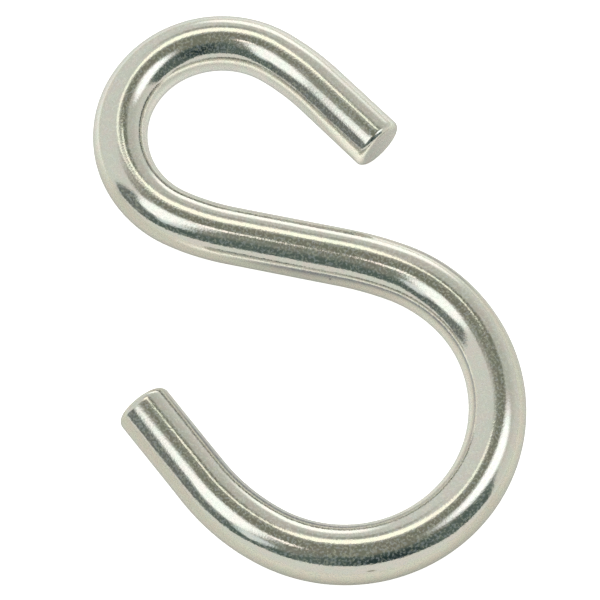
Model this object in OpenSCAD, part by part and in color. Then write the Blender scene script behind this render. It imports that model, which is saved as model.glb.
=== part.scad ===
// S hook bent from one length of round bar, lying flat: a small closed-in hook above, a large one below.
// The line through the two seats is parallel to Y, and the bar rests on z = 0.

/* [Bar] */
// Diameter of the round bar
bar_d = 6; // [4:0.5:8]
// Rounding of the rims of the two cut ends
tip_round = 0.8; // [0.4:0.1:1.4]
// How much slimmer the bar's radius is in a gentle bend, and again in a seat
bend_thinning = 0.01; // [0.01:0.01:0.04]

/* [Upper hook] */
// Inside radius of the seat
upper_seat_r = 7.75; // [6:0.25:10]
// Turn of the seat, in degrees
upper_seat_turn = 187.5; // [170:2.5:195]
// Centre-line radius of the gentle bend between the tip and the seat
upper_tip_bend_r = 27; // [20:1:34]
// Turn of that bend, in degrees
upper_tip_bend_turn = 13; // [8:1:16]
// Straight length up to the tip
upper_tip_len = 9.15; // [6:0.05:12]
// Centre-line radius of the gentle bend between the seat and the shank
upper_neck_r = 26; // [20:1:34]
// Turn of that bend, in degrees
upper_neck_turn = 13.5; // [8:0.5:17]

/* [Shank] */
// Straight length between the two hooks
shank_len = 12; // [8:0.5:20]

/* [Lower hook] */
// Inside radius of the seat
lower_seat_r = 12.75; // [10:0.25:16]
// Turn of the seat, in degrees
lower_seat_turn = 187.5; // [170:2.5:200]
// Centre-line radius of the gentle bend between the shank and the seat
lower_neck_r = 36; // [24:1:44]
// Turn of that bend, in degrees
lower_neck_turn = 9.5; // [6:0.5:12]
// Centre-line radius of the gentle bend between the seat and the tip
lower_tip_bend_r = 22; // [18:1:30]
// Turn of that bend, in degrees
lower_tip_bend_turn = 23; // [14:1:28]
// Straight length up to the tip
lower_tip_len = 10.6; // [7:0.1:14]

/* [Hidden] */
$fn = 96;
bar_r = bar_d / 2;
// How far a slimmer run laps into the thicker run beside it
lap = 0.1;

// The runs of the bar from the upper tip to the lower one. Each is its centre-line radius (0 if straight),
// its turn (left positive) or its length, and how many steps of thinning it has.
runs = [
    [0, upper_tip_len, 0],
    [upper_tip_bend_r, upper_tip_bend_turn, 1],
    [upper_seat_r + bar_r, upper_seat_turn, 2],
    [upper_neck_r, upper_neck_turn, 1],
    [0, shank_len, 0],
    [lower_neck_r, -lower_neck_turn, 1],
    [lower_seat_r + bar_r, -lower_seat_turn, 2],
    [lower_tip_bend_r, -lower_tip_bend_turn, 1],
    [0, lower_tip_len, 0],
];
last = len(runs) - 1;
upper_seat = 2;
lower_seat = 6;

// What a run is made of
function is_straight(run) = run[0] == 0;
function run_length(run) = run[1];
function centre_r(run) = run[0];
function turn(run) = run[1];
function thinned_r(run) = bar_r - run[2] * bend_thinning;
function reach(run) = run[2] * lap;

// A start is a point and the heading there
function point(start) = start[0];
function heading(start) = start[1];
function direction(heading) = [cos(heading), sin(heading)];

// Direction from a point on a bend, with this heading, to the bend's centre
function inward(heading, run) = direction(heading + sign(turn(run)) * 90);

// Centre of the bend that begins at this start
function bend_centre(start, run) = point(start) + centre_r(run) * inward(heading(start), run);

// The start that follows a straight run, and the one that follows a bend
function straight_end(start, run) =
    [point(start) + run_length(run) * direction(heading(start)), heading(start)];
function bend_end(start, run) =
    let (new_heading = heading(start) + turn(run))
        [bend_centre(start, run) - centre_r(run) * inward(new_heading, run), new_heading];
function run_end(start, run) = is_straight(run) ? straight_end(start, run) : bend_end(start, run);

// The start of every run, and the one at the end of the last run
function starts(start, i = 0) =
    i > last ? [start] : concat([start], starts(run_end(start, runs[i]), i + 1));

// Heading of the first run that puts the two seats' centres on a line parallel to Y
level = starts([[0, 0], 0]);
function seat_centre(path, i) = bend_centre(path[i], runs[i]);
seat_line = seat_centre(level, upper_seat) - seat_centre(level, lower_seat);
path = starts([[0, 0], 90 - atan2(seat_line.y, seat_line.x)]);

upper_tip = point(path[0]);
lower_tip = point(path[last + 1]);
upper_centre = seat_centre(path, upper_seat);
lower_centre = seat_centre(path, lower_seat);

// Outside radius of a seat
function outer_r(run) = centre_r(run) + thinned_r(run);

// How far a rounded tip with this heading reaches along X or Y past its end point
function tip_reach(along) = (bar_r - tip_round) * sqrt(1 - along * along) + tip_round * (1 - along);
upper_tip_x = upper_tip.x + tip_reach(-direction(heading(path[0])).x);
lower_tip_x = lower_tip.x - tip_reach(-direction(heading(path[last])).x);

// The middle of the hook's box, which is put over the origin
x_low = min(upper_centre.x - outer_r(runs[upper_seat]), lower_tip_x);
x_high = max(lower_centre.x + outer_r(runs[lower_seat]), upper_tip_x);
y_low = lower_centre.y - outer_r(runs[lower_seat]);
y_high = upper_centre.y + outer_r(runs[upper_seat]);
middle = [(x_low + x_high) / 2, (y_low + y_high) / 2];

// A straight run that leaves along +X
module straight(run) {
    rotate([0, 90, 0])
        cylinder(r = thinned_r(run), h = run_length(run));
}

// A straight run along +X whose far end is cut square with a rounded rim
module tip(length) {
    rotate([0, 90, 0])
        rotate_extrude() {
            square([bar_r, length - tip_round]);
            square([bar_r - tip_round, length]);
            translate([bar_r - tip_round, length - tip_round])
                intersection() {
                    circle(r = tip_round);
                    square(tip_round);
                }
        }
}

// A bend that leaves along +X, and laps into the runs before and after it
module bend(run) {
    reach_angle = reach(run) / centre_r(run) * 180 / PI;
    translate([0, sign(turn(run)) * centre_r(run), 0])
        rotate([0, 0, -90 * sign(turn(run)) + min(turn(run), 0) - reach_angle])
            rotate_extrude(angle = abs(turn(run)) + 2 * reach_angle)
                translate([centre_r(run), 0])
                    circle(r = thinned_r(run));
}

// Puts what leaves along +X at a start, turned by this much more
module at(start, more = 0) {
    translate(point(start))
        rotate([0, 0, heading(start) + more])
            children();
}

module s_hook() {
    color("silver")
        translate([-middle.x, -middle.y, bar_r]) {
            for (i = [1 : last - 1])
                at(path[i])
                    if (is_straight(runs[i]))
                        straight(runs[i]);
                    else
                        bend(runs[i]);
            at(path[1], 180)
                tip(upper_tip_len);
            at(path[last])
                tip(lower_tip_len);
        }
}

s_hook();
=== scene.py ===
"""S hook of bent round stainless steel bar, lying on a pale floor in a soft studio tent.

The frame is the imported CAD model, in metres. Lengths below are millimetres unless they say
otherwise, and MM turns them into metres. Studio azimuths run counter-clockwise from the
camera's right, as seen from above: 90 lies behind the hook, -90 in front of it.
"""
import math
from collections import namedtuple

import bpy
import numpy as np
from mathutils import Matrix, Vector


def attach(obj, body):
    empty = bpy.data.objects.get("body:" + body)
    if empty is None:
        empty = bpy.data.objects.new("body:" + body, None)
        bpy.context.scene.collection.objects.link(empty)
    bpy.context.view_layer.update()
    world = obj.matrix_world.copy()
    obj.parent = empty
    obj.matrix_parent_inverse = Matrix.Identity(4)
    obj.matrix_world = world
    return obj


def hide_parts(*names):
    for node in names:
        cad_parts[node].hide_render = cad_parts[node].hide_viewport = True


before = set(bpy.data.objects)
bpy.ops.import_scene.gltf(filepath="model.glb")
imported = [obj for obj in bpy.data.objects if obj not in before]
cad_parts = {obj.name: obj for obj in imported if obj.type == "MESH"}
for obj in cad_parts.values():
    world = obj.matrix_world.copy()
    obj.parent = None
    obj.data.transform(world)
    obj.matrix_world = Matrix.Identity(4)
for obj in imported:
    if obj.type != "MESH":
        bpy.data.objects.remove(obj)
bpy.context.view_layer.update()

MM = 0.001

# The bent bar, as part.scad has it: straight lengths, and bends with their inside radii.
BAR_D = 6.0
BAR_R = BAR_D / 2
UPPER_TIP_ROUND = 0.65
LOWER_TIP_ROUND = 0.8
UPPER_TIP_LEN = 9.15
UPPER_TIP_BEND_R = 27.0
UPPER_TIP_BEND_TURN = 13.0
UPPER_SEAT_R = 7.75
UPPER_SEAT_TURN = 187.5
UPPER_NECK_R = 26.0
UPPER_NECK_TURN = 13.5
SHANK_LEN = 12.0
LOWER_NECK_R = 36.0
LOWER_NECK_TURN = 9.5
LOWER_SEAT_R = 12.75
LOWER_SEAT_TURN = 187.5
LOWER_TIP_BEND_R = 22.0
LOWER_TIP_BEND_TURN = 23.0
LOWER_TIP_LEN = 10.6

# Runs from the upper tip to the lower one: centre line radius, or None where the bar is
# straight, and its turn in degrees, left positive, or its length.
Run = namedtuple("Run", "radius turn")
UPPER_SEAT = Run(UPPER_SEAT_R + BAR_R, UPPER_SEAT_TURN)
LOWER_SEAT = Run(LOWER_SEAT_R + BAR_R, -LOWER_SEAT_TURN)
RUNS = (
    Run(None, UPPER_TIP_LEN),
    Run(UPPER_TIP_BEND_R, UPPER_TIP_BEND_TURN),
    UPPER_SEAT,
    Run(UPPER_NECK_R, UPPER_NECK_TURN),
    Run(None, SHANK_LEN),
    Run(LOWER_NECK_R, -LOWER_NECK_TURN),
    LOWER_SEAT,
    Run(LOWER_TIP_BEND_R, -LOWER_TIP_BEND_TURN),
    Run(None, LOWER_TIP_LEN),
)

# How far bending pushed each side of the bar in or out: distance from the upper tip, change.
SWELL = (
    (0, -0.02),
    (22, -0.04),
    (33, -0.09),
    (44, -0.05),
    (54, 0.05),
    (77, 0.06),
    (86, -0.05),
    (112, 0.07),
    (127, 0.04),
    (137, -0.04),
    (146, -0.02),
)

# Mesh density of the bar.
RING_STEP = 0.23
ROUND_SIDES = 128
RIM_RINGS = 10
FACE_RINGS = 6

# The camera, in the part's frame.
CAMERA_PLACE = (-35.88, -90.94, 259.94)
CAMERA_AIM = (1.93, -1.56, 3.0)
CAMERA_LENS = 158.3
CAMERA_SENSOR = 36.0
CAMERA_CLIP = 10.0

# The studio is turned with the camera.
STUDIO_TURN = -22.93

# The polish: its two tints, its colour at grazing angles, and how high its grain stands.
STEEL_ROSY = (0.63, 0.59, 0.56)
STEEL_GREEN = (0.59, 0.61, 0.56)
STEEL_EDGE = (0.53, 0.54, 0.58)
STEEL_ROUGHNESS = 0.07
GRAIN_HEIGHT = 0.006

# Drawing lines are strong up to the first distance from a tip, and faint from the second on.
LINES_STRONG_TO = 10.0
LINES_FAINT_FROM = 18.0
LINES_STRONG = 0.8
LINES_FAINT = 0.1

# The duller skin that lies in specks over the polish: its two tints and its share.
DULL_BLUE = (0.84, 0.90, 1.00)
DULL_GREEN = (1.00, 1.00, 0.82)
DULL_SHARE = 0.20

# Scales of the noises in the steel, per millimetre of the straightened bar, and the values
# between which each one fades from one look to the other.
GRAIN_SCALE = 6.0
TINT_SCALE = 0.8
TINT_RANGE = (0.35, 0.65)
DULL_TINT_SCALE = 2.5
DULL_TINT_RANGE = (0.4, 0.6)
DULL_SPECK_SCALE = 4.0
DULL_SPECK_RANGE = (0.42, 0.64)
# How much slower the grain and the drawing lines change along the bar than across it.
GRAIN_STRETCH = (0.7, 1, 1)
LINES_STRETCH = (0.05, 1, 1)

# Small marks in the polish, in millimetres along the bar, across it and up from its middle:
# two dark specks, a brown scuff and a white one.
Mark = namedtuple("Mark", "along across height half_length half_width colour")
MARKS = (
    Mark(67.8, -2.90, 0.76, 0.18, 0.17, (0.10, 0.08, 0.04)),
    Mark(137.5, -2.03, 2.21, 0.17, 0.17, (0.10, 0.11, 0.05)),
    Mark(115.9, 2.31, 1.91, 0.48, 0.12, (0.28, 0.24, 0.17)),
    Mark(127.4, 1.65, 2.50, 0.80, 0.16, (1.0, 1.0, 1.0)),
)
MARK_STRENGTH = 0.8
# A mark fades out between these shares of its half sizes.
MARK_FADE = (0.5, 1.2)

# The tent's pale walls, which run into each other.
TENT_LEFT = (0.89, 0.91, 0.86)
TENT_RIGHT = (0.84, 0.84, 0.78)
TENT_FRONT = (1.06, 1.04, 0.93)
TENT_BACK = (0.86, 0.87, 0.80)

# The tent's front has a dark opening. It is the part of the sky that is within 90 degrees of
# every one of these poles, with soft edges.
Edge = namedtuple("Edge", "azimuth elevation soft")
OPENING = (0.125, 0.17, 0.15)
OPENING_EDGES = (Edge(-112, 20, 3), Edge(-82, -2, 3), Edge(-72, 40, 4))

# Soft patches of colour in the sky. Sizes and roll are in degrees. A card fades out from
# 1 - soft to 1 + soft of its half size, is an oval at squareness 2 and boxier above it.
Card = namedtuple("Card", "azimuth elevation half_width half_height roll soft squareness colour")
OPENING_CARDS = (
    Card(-68, 42, 14, 18, 0, 0.7, 2, (0.03, 0.055, 0.055)),    # darkest corner of the room
    Card(-158, 22, 14, 20, 0, 0.5, 2, (0.21, 0.235, 0.215)),   # dim wall at its left
    Card(-105, 80, 34, 8, 0, 0.6, 2, (0.24, 0.25, 0.19)),      # its ceiling
    Card(-124, 62, 9, 17, 0, 0.5, 2, (0.28, 0.30, 0.25)),      # its wall between the lamps
)
ROOF_CARDS = (
    Card(50, 45, 38, 25, 0, 0.9, 2, (0.66, 0.66, 0.59)),       # shaded wall, back right
    Card(40, 88, 23, 21, 0, 0.35, 2, (0.26, 0.27, 0.21)),      # dim roof overhead
    Card(55, 61, 12, 12.5, 0, 0.35, 3, (0.26, 0.27, 0.21)),    # dim roof, back right
    Card(94, 40, 12, 4.5, 0, 0.8, 2, (0.42, 0.43, 0.37)),      # dim rim under the back lamp
    Card(172, 67, 10, 5, 0, 0.7, 2, (0.36, 0.37, 0.31)),       # dim roof by the left lamp
)
LAMP_CARDS = (
    Card(79, 7, 19, 12, 0, 0.4, 2, (1.75, 1.75, 1.65)),        # low lamp behind
    Card(-133, 43, 5, 11, -15, 0.4, 2, (0.95, 1.05, 1.05)),    # tail of the left lamp
    Card(107, 64, 5, 3.5, 0, 0.4, 2, (1.5, 1.5, 1.3)),         # left wing of the back lamp
    Card(73, 61, 4.5, 2.5, 0, 0.5, 2, (1.6, 1.6, 1.35)),       # right wing of the back lamp
    Card(92.5, 55.7, 8.5, 7.8, 4, 0.15, 3, (1.7, 1.7, 1.42)),  # back lamp
    Card(-143, 77.5, 3.5, 3.5, 0, 0.4, 2, (1.9, 1.8, 1.65)),   # small lamp over the left one
)

# The two big side lamps stand this far from the middle, near enough that the upper and the
# lower hook see them in different places.
SIDE_LAMPS = {
    "left_lamp": Card(-152.5, 56.5, 11, 18.5, 10, 0.3, 2.5, (1.6, 1.65, 1.6)),
    "right_lamp": Card(0, 53.5, 12.5, 18, 22, 0.4, 2.2, (1.75, 1.8, 1.8)),
}
SIDE_LAMP_DISTANCE = 450.0

# A white board stands on the floor in front of the hook, below the opening: places to the
# right along its top edge, and heights there.
BOARD_AZIMUTH = -84
BOARD_DISTANCE = 120.0
BOARD_TOP = ((1500, 38), (100, 42), (45, 62), (-85, 62), (-130, 44), (-1500, 32))
BOARD_GLOW = (0.98, 0.98, 0.90)

# What the camera sees of the wall and the table: plain and pale.
BACKDROP = (0.95, 0.95, 0.95)
FLOOR_HALF = 1500.0
FLOOR_WHITE = (0.95, 0.95, 0.95)
FLOOR_GLOW_WHITE = (0.85, 0.85, 0.85)

# What the steel sees of the table: its glossy paper, and its glow before and behind the
# middle, which changes between two distances behind it.
FLOOR_PAPER = (0.66, 0.64, 0.54)
FLOOR_GLOSS = 0.5
FLOOR_ROUGHNESS = 0.35
FLOOR_IOR = 2.3
FLOOR_GLOW_FRONT = (0.43, 0.41, 0.37)
FLOOR_GLOW_BACK = (0.76, 0.78, 0.78)
FLOOR_BACK_AZIMUTH = 95
FLOOR_BACK_START = 12.0
FLOOR_BACK_FULL = 30.0
# Away from the hook, the glow fades from the first distance to the second.
FLOOR_GLOW_FAR = (0.30, 0.30, 0.27)
FLOOR_FAR_START = 45.0
FLOOR_FAR_FULL = 75.0

# The strip of table just behind the bar is brighter. It is found by looking for the bar from
# the table, round an azimuth and elevation at the camera's side, as far as this reach. The
# strip is at full strength where no more than this share of the look is clear.
BESIDE_GLOW = (0.95, 0.95, 0.88)
BESIDE_REACH = 9.0
BESIDE_LOOK = (-85, 15)
BESIDE_CLEAR = 0.75
BESIDE_SAMPLES = 8

# Soft shadows on the floor, seen in the steel: centres and half sizes on the floor.
Shade = namedtuple("Shade", "x y half_x half_y strength")
SHADE_COLOUR = (0.10, 0.11, 0.14)
# A shade is at full strength within this share of its half sizes.
SHADE_CORE = 0.3
FLOOR_SHADES = (
    Shade(-4, -12, 12, 16, 0.9),
    Shade(24, 2, 10, 8, 0.55),
    Shade(3, 18, 9, 9, 0.2),
)

OVERHEAD_SIZE = 800.0
OVERHEAD_HEIGHT = 1200.0
OVERHEAD_WATTS = 4.0


def heading_vector(heading):
    """Unit vector in the floor plane, at a heading in degrees from +X."""
    return np.array([math.cos(math.radians(heading)), math.sin(math.radians(heading))])


def run_length(run):
    """Length of a run along its centre line."""
    if run.radius is None:
        return run.turn
    return abs(math.radians(run.turn)) * run.radius


def run_centre(start, heading, run):
    """Centre of a bend that starts at start."""
    return start + run.radius * heading_vector(heading + math.copysign(90, run.turn))


def run_point(start, heading, run, at):
    """Point and heading, at a distance along a run that starts at start."""
    if run.radius is None:
        return start + at * heading_vector(heading), heading
    side = math.copysign(1, run.turn)
    new_heading = heading + side * math.degrees(at / run.radius)
    outward = heading_vector(new_heading - side * 90)
    return run_centre(start, heading, run) + run.radius * outward, new_heading


def centre_line():
    """Distances along the bar, and the points and headings there."""
    length = sum(run_length(run) for run in RUNS)
    stations = np.linspace(0, length, round(length / RING_STEP) + 1)
    points = []
    headings = []
    seats = {}
    start, heading, passed = np.zeros(2), 0.0, 0.0
    for run in RUNS:
        ahead = passed + run_length(run)
        inside = (stations >= passed) & (stations < ahead)
        if run is RUNS[-1]:
            inside = stations >= passed
        for at in stations[inside]:
            point, facing = run_point(start, heading, run, at - passed)
            points.append(point)
            headings.append(facing)
        if run in (UPPER_SEAT, LOWER_SEAT):
            seats[run] = run_centre(start, heading, run)
        start, heading = run_point(start, heading, run, run_length(run))
        passed = ahead
    # The line between the seats' centres lies along Y.
    seat_line = seats[UPPER_SEAT] - seats[LOWER_SEAT]
    turn = 90 - math.degrees(math.atan2(seat_line[1], seat_line[0]))
    turned = np.array([heading_vector(turn), heading_vector(turn + 90)])
    return stations, np.array(points) @ turned, np.array(headings) + turn


def swell(along):
    """Change of the bar's half width, eased from each distance in SWELL to the next."""
    places, changes = zip(*SWELL)
    index = np.clip(np.searchsorted(places, along, side="right") - 1, 0, len(SWELL) - 2)
    before, after = places[index], places[index + 1]
    share = np.clip((along - before) / (after - before), 0, 1)
    eased = share * share * (3 - 2 * share)
    return changes[index] + (changes[index + 1] - changes[index]) * eased


def rim_profile(rounding):
    """Insets from the tip along the bar, and drops of its radius, from side to middle."""
    profile = []
    for i in range(RIM_RINGS):
        angle = math.pi / 2 * i / RIM_RINGS
        inset = rounding * (1 - math.sin(angle))
        drop = rounding * (1 - math.cos(angle))
        profile.append((inset, drop))
    for i in range(FACE_RINGS):
        profile.append((0.0, rounding + (BAR_R - rounding) * i / FACE_RINGS))
    return profile


def ring(point, heading, along, radius):
    """One round of the bar's mesh, and the same points on the straightened bar."""
    angles = np.linspace(0, 2 * math.pi, ROUND_SIDES, endpoint=False)
    across = radius * np.cos(angles)
    height = radius * np.sin(angles)
    widened = across * (1 + swell(along) / BAR_R)
    verts = np.zeros((ROUND_SIDES, 3))
    verts[:, :2] = point + widened[:, None] * heading_vector(heading + 90)
    verts[:, 2] = BAR_R + height
    straight = np.column_stack([np.full(ROUND_SIDES, along), across, height])
    return verts, straight


def bar_rings():
    """Rings from the middle of the upper tip's end to the middle of the lower tip's."""
    stations, points, headings = centre_line()
    length = stations[-1]
    rings = []
    for inset, drop in reversed(rim_profile(UPPER_TIP_ROUND)):
        point = points[0] + inset * heading_vector(headings[0])
        rings.append(ring(point, headings[0], inset, BAR_R - drop))
    first = UPPER_TIP_ROUND + RING_STEP / 2
    last = length - LOWER_TIP_ROUND - RING_STEP / 2
    for along, point, heading in zip(stations, points, headings):
        if first < along < last:
            rings.append(ring(point, heading, along, BAR_R))
    for inset, drop in rim_profile(LOWER_TIP_ROUND):
        point = points[-1] - inset * heading_vector(headings[-1])
        rings.append(ring(point, headings[-1], length - inset, BAR_R - drop))
    return rings


def tube_faces(ring_count):
    """Quads between rings, and a fan to a middle point after the rings at each end."""
    faces = []
    last_start = (ring_count - 1) * ROUND_SIDES
    first_middle = ring_count * ROUND_SIDES
    last_middle = first_middle + 1
    for side in range(ROUND_SIDES):
        after = (side + 1) % ROUND_SIDES
        for start in range(0, last_start, ROUND_SIDES):
            there = start + ROUND_SIDES
            faces.append((start + side, start + after, there + after, there + side))
        faces.append((first_middle, after, side))
        faces.append((last_middle, last_start + side, last_start + after))
    return faces


def hook_bar():
    """The hook as one closed tube, centred over the origin, with its straightened points."""
    rings = bar_rings()
    verts = np.concatenate([verts for verts, straight in rings])
    straight = np.concatenate([straight for verts, straight in rings])
    ends = (slice(0, ROUND_SIDES), slice(-ROUND_SIDES, None))
    verts = np.vstack([verts, *(verts[end].mean(axis=0) for end in ends)])
    straight = np.vstack([straight, *(straight[end].mean(axis=0) for end in ends)])
    low, high = verts.min(axis=0), verts.max(axis=0)
    verts[:, :2] -= (low[:2] + high[:2]) / 2

    mesh = bpy.data.meshes.new("hook_bar")
    mesh.from_pydata((verts * MM).tolist(), [], tube_faces(len(rings)))
    mesh.shade_smooth()
    bar = mesh.attributes.new("bar", "FLOAT_VECTOR", "POINT")
    bar.data.foreach_set("vector", straight.astype(np.float32).ravel())
    length = straight[:, 0].max()
    to_tip = np.minimum(straight[:, 0], length - straight[:, 0])
    distance = mesh.attributes.new("to_tip", "FLOAT", "POINT")
    distance.data.foreach_set("value", to_tip.astype(np.float32))
    return add_object("hook_bar", mesh)


def add_object(name, data):
    new = bpy.data.objects.new(name, data)
    bpy.context.scene.collection.objects.link(new)
    return new


# Sockets of a Mix node that mixes colours.
COLOUR_BELOW, COLOUR_ABOVE, COLOUR_RESULT = 6, 7, 2


class Tree:
    """Adds nodes to a node tree, with sockets or plain values as inputs."""

    def __init__(self, owner):
        owner.use_nodes = True
        self.nodes = owner.node_tree.nodes
        self.links = owner.node_tree.links
        self.nodes.clear()

    def node(self, kind, inputs, **settings):
        new = self.nodes.new(kind)
        for name, value in settings.items():
            setattr(new, name, value)
        for key, value in inputs.items():
            if isinstance(value, bpy.types.NodeSocket):
                self.links.new(value, new.inputs[key])
            else:
                new.inputs[key].default_value = value
        return new

    def math(self, operation, *values):
        inputs = dict(enumerate(values))
        return self.node("ShaderNodeMath", inputs, operation=operation).outputs[0]

    def vector_math(self, operation, *values):
        inputs = dict(enumerate(values))
        return self.node("ShaderNodeVectorMath", inputs, operation=operation)

    def dot(self, vector, axis):
        return self.vector_math("DOT_PRODUCT", vector, tuple(axis)).outputs["Value"]

    def scale(self, vector, factors):
        return self.vector_math("MULTIPLY", vector, factors).outputs["Vector"]

    def reach(self, place, centre, half_sizes):
        """Distance from centre, as a share of an oval's half sizes."""
        offset = self.vector_math("SUBTRACT", place, centre).outputs["Vector"]
        share = self.scale(offset, tuple(1 / size for size in half_sizes))
        return self.vector_math("LENGTH", share).outputs["Value"]

    def ramp(self, value, low, high, at_low=0.0, at_high=1.0):
        """at_low up to low, at_high from high on, and a smooth step between them."""
        inputs = {
            "Value": value,
            "From Min": low,
            "From Max": high,
            "To Min": at_low,
            "To Max": at_high,
        }
        node = self.node("ShaderNodeMapRange", inputs, interpolation_type="SMOOTHSTEP")
        return node.outputs["Result"]

    def noise(self, place, scale, detail):
        inputs = {"Vector": place, "Scale": scale, "Detail": detail}
        return self.node("ShaderNodeTexNoise", inputs).outputs["Fac"]

    def over(self, below, mask, colour):
        """colour laid over below where mask is 1."""
        inputs = {0: mask, COLOUR_BELOW: below, COLOUR_ABOVE: colour}
        settings = {"data_type": "RGBA", "clamp_result": False}
        return self.node("ShaderNodeMix", inputs, **settings).outputs[COLOUR_RESULT]


def rgba(colour):
    return (*colour, 1.0)


def sky_vector(azimuth, elevation):
    """Unit vector towards an azimuth and elevation of the studio."""
    az = math.radians(azimuth + STUDIO_TURN)
    el = math.radians(elevation)
    return Vector((math.cos(az) * math.cos(el), math.sin(az) * math.cos(el), math.sin(el)))


def card_axes(card):
    """Unit vector to a card's middle, and vectors to its side and top as seen at distance 1."""
    centre = sky_vector(card.azimuth, card.elevation)
    level = sky_vector(card.azimuth + 90, 0)
    rise = centre.cross(level)
    turn = Matrix.Rotation(math.radians(card.roll), 3, centre)
    wide = turn @ level * math.tan(math.radians(card.half_width))
    tall = turn @ rise * math.tan(math.radians(card.half_height))
    return centre, wide, tall


# A card is seen only where a direction faces it by this much, and its depth is kept off zero.
LEAST_FACING = 0.02
NEAREST_DEPTH = 0.01


def card_mask(tree, direction, card):
    """1 on a card square to its own direction: oval at squareness 2, boxier above it."""
    centre, wide, tall = card_axes(card)
    facing = tree.dot(direction, centre)
    depth = tree.math("MAXIMUM", facing, NEAREST_DEPTH)
    powers = []
    for axis in (wide, tall):
        along = tree.dot(direction, axis / axis.length_squared)
        share = tree.math("ABSOLUTE", tree.math("DIVIDE", along, depth))
        powers.append(tree.math("POWER", share, card.squareness))
    reach = tree.math("POWER", tree.math("ADD", *powers), 1 / card.squareness)
    inside = tree.ramp(reach, 1 - card.soft, 1 + card.soft, 1.0, 0.0)
    return tree.math("MULTIPLY", inside, tree.math("GREATER_THAN", facing, LEAST_FACING))


def edge_mask(tree, direction, edge):
    """1 on the half of the sky round a pole."""
    reach = math.sin(math.radians(edge.soft))
    facing = tree.dot(direction, sky_vector(edge.azimuth, edge.elevation))
    return tree.ramp(facing, -reach, reach)


def lay_cards(tree, direction, colour, cards):
    """colour with each card laid over it in turn."""
    for card in cards:
        colour = tree.over(colour, card_mask(tree, direction, card), rgba(card.colour))
    return colour


def studio():
    """A pale tent with a dark opening in front, a dim roof and soft lamps behind its walls."""
    world = bpy.data.worlds.new("studio")
    bpy.context.scene.world = world
    tree = Tree(world)
    direction = tree.node("ShaderNodeTexCoord", {}).outputs["Generated"]
    right = tree.ramp(tree.dot(direction, sky_vector(0, 0)), -1, 1)
    back = tree.ramp(tree.dot(direction, sky_vector(90, 0)), -1, 1)
    sides = tree.over(rgba(TENT_LEFT), right, rgba(TENT_RIGHT))
    ends = tree.over(rgba(TENT_FRONT), back, rgba(TENT_BACK))
    walls = tree.over(sides, 0.5, ends)
    opening = 1.0
    for edge in OPENING_EDGES:
        opening = tree.math("MULTIPLY", opening, edge_mask(tree, direction, edge))
    room = lay_cards(tree, direction, rgba(OPENING), OPENING_CARDS)
    tent = tree.over(walls, opening, room)
    tent = lay_cards(tree, direction, tent, ROOF_CARDS + LAMP_CARDS)
    seen = tree.node("ShaderNodeLightPath", {}).outputs["Is Camera Ray"]
    colour = tree.over(tent, seen, rgba(BACKDROP))
    background = tree.node("ShaderNodeBackground", {"Color": colour})
    tree.node("ShaderNodeOutputWorld", {"Surface": background.outputs[0]})


def light_sheet(name, corners, tree, material, mask, colour):
    """A flat sheet of light that only the steel sees, clear where mask is 0."""
    clear = tree.node("ShaderNodeBsdfTransparent", {})
    glow = tree.node("ShaderNodeEmission", {"Color": rgba(colour)})
    inputs = {0: mask, 1: clear.outputs[0], 2: glow.outputs[0]}
    surface = tree.node("ShaderNodeMixShader", inputs)
    tree.node("ShaderNodeOutputMaterial", {"Surface": surface.outputs[0]})
    mesh = bpy.data.meshes.new(name)
    mesh.from_pydata([corner * MM for corner in corners], [], [range(len(corners))])
    mesh.materials.append(material)
    sheet = add_object(name, mesh)
    sheet.visible_camera = False
    sheet.visible_diffuse = False
    sheet.visible_shadow = False


def side_lamps():
    """A soft lamp on each side, at a real distance."""
    for name, card in SIDE_LAMPS.items():
        centre, wide, tall = card_axes(card)
        corners = []
        for x, y in ((-1, -1), (1, -1), (1, 1), (-1, 1)):
            corner = centre + (1 + card.soft) * (x * wide + y * tall)
            corners.append(corner * SIDE_LAMP_DISTANCE)
        material = bpy.data.materials.new(name)
        tree = Tree(material)
        place = tree.node("ShaderNodeNewGeometry", {}).outputs["Position"]
        mask = card_mask(tree, place, card)
        light_sheet(name, corners, tree, material, mask, card.colour)


def front_board():
    """The white board in front, with its foot on the floor."""
    middle = sky_vector(BOARD_AZIMUTH, 0) * BOARD_DISTANCE
    level = sky_vector(BOARD_AZIMUTH + 90, 0)
    leftmost, rightmost = BOARD_TOP[-1][0], BOARD_TOP[0][0]
    corners = []
    for along, height in ((leftmost, 0), (rightmost, 0), *BOARD_TOP):
        corners.append(middle + along * level + Vector((0, 0, height)))
    material = bpy.data.materials.new("front_board")
    light_sheet("front_board", corners, Tree(material), material, 1.0, BOARD_GLOW)


def overhead():
    """A wide soft lamp over the hook that lights the floor, and isn't seen in the steel."""
    data = bpy.data.lights.new("overhead", "AREA")
    data.shape = "DISK"
    data.size = OVERHEAD_SIZE * MM
    data.energy = OVERHEAD_WATTS
    lamp = add_object("overhead", data)
    lamp.location = (0, 0, OVERHEAD_HEIGHT * MM)
    lamp.visible_glossy = False
    lamp.visible_camera = False


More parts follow.
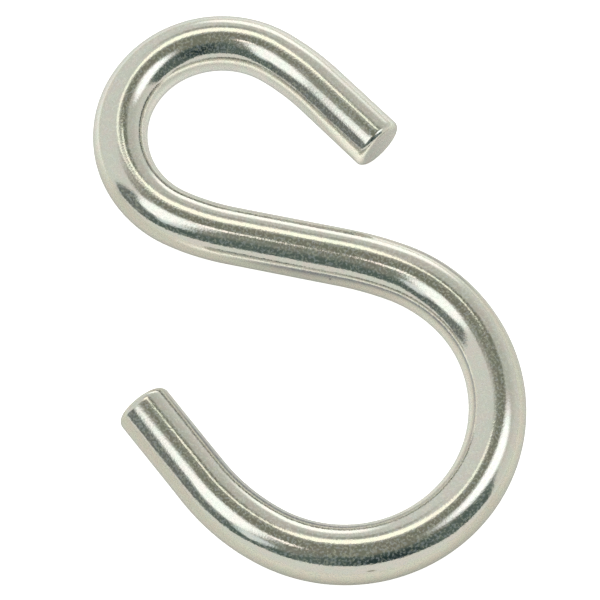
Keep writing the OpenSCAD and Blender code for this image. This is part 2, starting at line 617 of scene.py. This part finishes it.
def floor():
    """A lit table top: white to the camera, and the tent's warmer paper in the steel."""
    half = FLOOR_HALF * MM
    mesh = bpy.data.meshes.new("floor")
    corners = [(-half, -half, 0), (half, -half, 0), (half, half, 0), (-half, half, 0)]
    mesh.from_pydata(corners, [], [(0, 1, 2, 3)])
    material = bpy.data.materials.new("floor_paper")
    tree = Tree(material)
    place = tree.node("ShaderNodeNewGeometry", {}).outputs["Position"]
    paper = rgba(FLOOR_PAPER)
    behind = tree.dot(place, sky_vector(FLOOR_BACK_AZIMUTH, 0))
    back = tree.ramp(behind, FLOOR_BACK_START * MM, FLOOR_BACK_FULL * MM)
    glow = tree.over(rgba(FLOOR_GLOW_FRONT), back, rgba(FLOOR_GLOW_BACK))
    away = tree.reach(place, (0, 0, 0), (FLOOR_FAR_FULL * MM,) * 3)
    far = tree.ramp(away, FLOOR_FAR_START / FLOOR_FAR_FULL, 1)
    glow = tree.over(glow, far, rgba(FLOOR_GLOW_FAR))
    for shade in FLOOR_SHADES:
        sizes = (shade.half_x * MM, shade.half_y * MM, FLOOR_HALF * MM)
        reach = tree.reach(place, (shade.x * MM, shade.y * MM, 0), sizes)
        mask = tree.ramp(reach, SHADE_CORE, 1, shade.strength, 0.0)
        paper = tree.over(paper, mask, rgba(SHADE_COLOUR))
        glow = tree.over(glow, mask, rgba(SHADE_COLOUR))
    look = tree.node("ShaderNodeCombineXYZ", dict(enumerate(sky_vector(*BESIDE_LOOK))))
    inputs = {"Distance": BESIDE_REACH * MM, "Normal": look.outputs[0]}
    clear = tree.node("ShaderNodeAmbientOcclusion", inputs, samples=BESIDE_SAMPLES)
    beside = tree.ramp(clear.outputs["AO"], BESIDE_CLEAR, 1, 1.0, 0.0)
    glow = tree.over(glow, beside, rgba(BESIDE_GLOW))
    seen = tree.node("ShaderNodeLightPath", {}).outputs["Is Camera Ray"]
    shader = tree.node("ShaderNodeBsdfPrincipled", {
        "Base Color": tree.over(paper, seen, rgba(FLOOR_WHITE)),
        "Roughness": FLOOR_ROUGHNESS,
        "IOR": FLOOR_IOR,
        "Specular IOR Level": tree.ramp(seen, 0, 1, FLOOR_GLOSS, 0.0),
        "Emission Color": tree.over(glow, seen, rgba(FLOOR_GLOW_WHITE)),
        "Emission Strength": 1.0,
    })
    tree.node("ShaderNodeOutputMaterial", {"Surface": shader.outputs[0]})
    mesh.materials.append(material)
    add_object("floor", mesh)


def camera():
    """A long lens at the photograph's viewing angle."""
    data = bpy.data.cameras.new("camera")
    data.lens = CAMERA_LENS
    data.sensor_width = CAMERA_SENSOR
    data.clip_start = CAMERA_CLIP * MM
    place = Vector(CAMERA_PLACE) * MM
    forward = (Vector(CAMERA_AIM) * MM - place).normalized()
    right = forward.cross(Vector((0, 0, 1))).normalized()
    up = right.cross(forward)
    eye = add_object("camera", data)
    turn = Matrix((right, up, -forward)).transposed()
    eye.matrix_world = Matrix.Translation(place) @ turn.to_4x4()
    bpy.context.scene.camera = eye


def polish(tree, place):
    """Polished metal with a fine grain all over, and drawing lines near the tips."""
    to_tip = tree.node("ShaderNodeAttribute", {}, attribute_name="to_tip").outputs["Fac"]
    grain = tree.noise(tree.scale(place, GRAIN_STRETCH), GRAIN_SCALE, 2.0)
    lines = tree.noise(tree.scale(place, LINES_STRETCH), GRAIN_SCALE, 2.0)
    drawn = tree.ramp(to_tip, LINES_STRONG_TO, LINES_FAINT_FROM, LINES_STRONG, LINES_FAINT)
    height = tree.math("ADD", grain, tree.math("MULTIPLY", lines, drawn))
    bump = tree.node("ShaderNodeBump", {"Height": height, "Distance": GRAIN_HEIGHT * MM})
    green = tree.ramp(tree.noise(place, TINT_SCALE, 4.0), *TINT_RANGE)
    return tree.node("ShaderNodeBsdfPrincipled", {
        "Base Color": tree.over(rgba(STEEL_ROSY), green, rgba(STEEL_GREEN)),
        "Metallic": 1.0,
        "Roughness": STEEL_ROUGHNESS,
        "Specular Tint": rgba(STEEL_EDGE),
        "Normal": bump.outputs["Normal"],
    })


def steel():
    """Stainless steel: polish under duller specks and a few marks."""
    material = bpy.data.materials.new("polished_steel")
    tree = Tree(material)
    place = tree.node("ShaderNodeAttribute", {}, attribute_name="bar").outputs["Vector"]
    shine = polish(tree, place)
    green = tree.ramp(tree.noise(place, DULL_TINT_SCALE, 2.0), *DULL_TINT_RANGE)
    colour = tree.over(rgba(DULL_BLUE), green, rgba(DULL_GREEN))
    specks = tree.noise(place, DULL_SPECK_SCALE, 1.0)
    dullness = tree.ramp(specks, *DULL_SPECK_RANGE, 0.0, DULL_SHARE)
    for mark in MARKS:
        centre = (mark.along, mark.across, mark.height)
        sizes = (mark.half_length, mark.half_width, mark.half_width)
        mask = tree.ramp(tree.reach(place, centre, sizes), *MARK_FADE, MARK_STRENGTH, 0.0)
        colour = tree.over(colour, mask, rgba(mark.colour))
        dullness = tree.math("MAXIMUM", dullness, mask)
    dull = tree.node("ShaderNodeBsdfDiffuse", {"Color": colour})
    inputs = {0: dullness, 1: shine.outputs[0], 2: dull.outputs[0]}
    surface = tree.node("ShaderNodeMixShader", inputs)
    tree.node("ShaderNodeOutputMaterial", {"Surface": surface.outputs[0]})
    return material


camera()
studio()
side_lamps()
front_board()
overhead()
floor()

hook = hook_bar()
hook.data.materials.append(steel())
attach(hook, "root")
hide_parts("s_hook")

# The studio's values are the picture's own, with no film curve.
bpy.context.scene.view_settings.view_transform = "Standard"
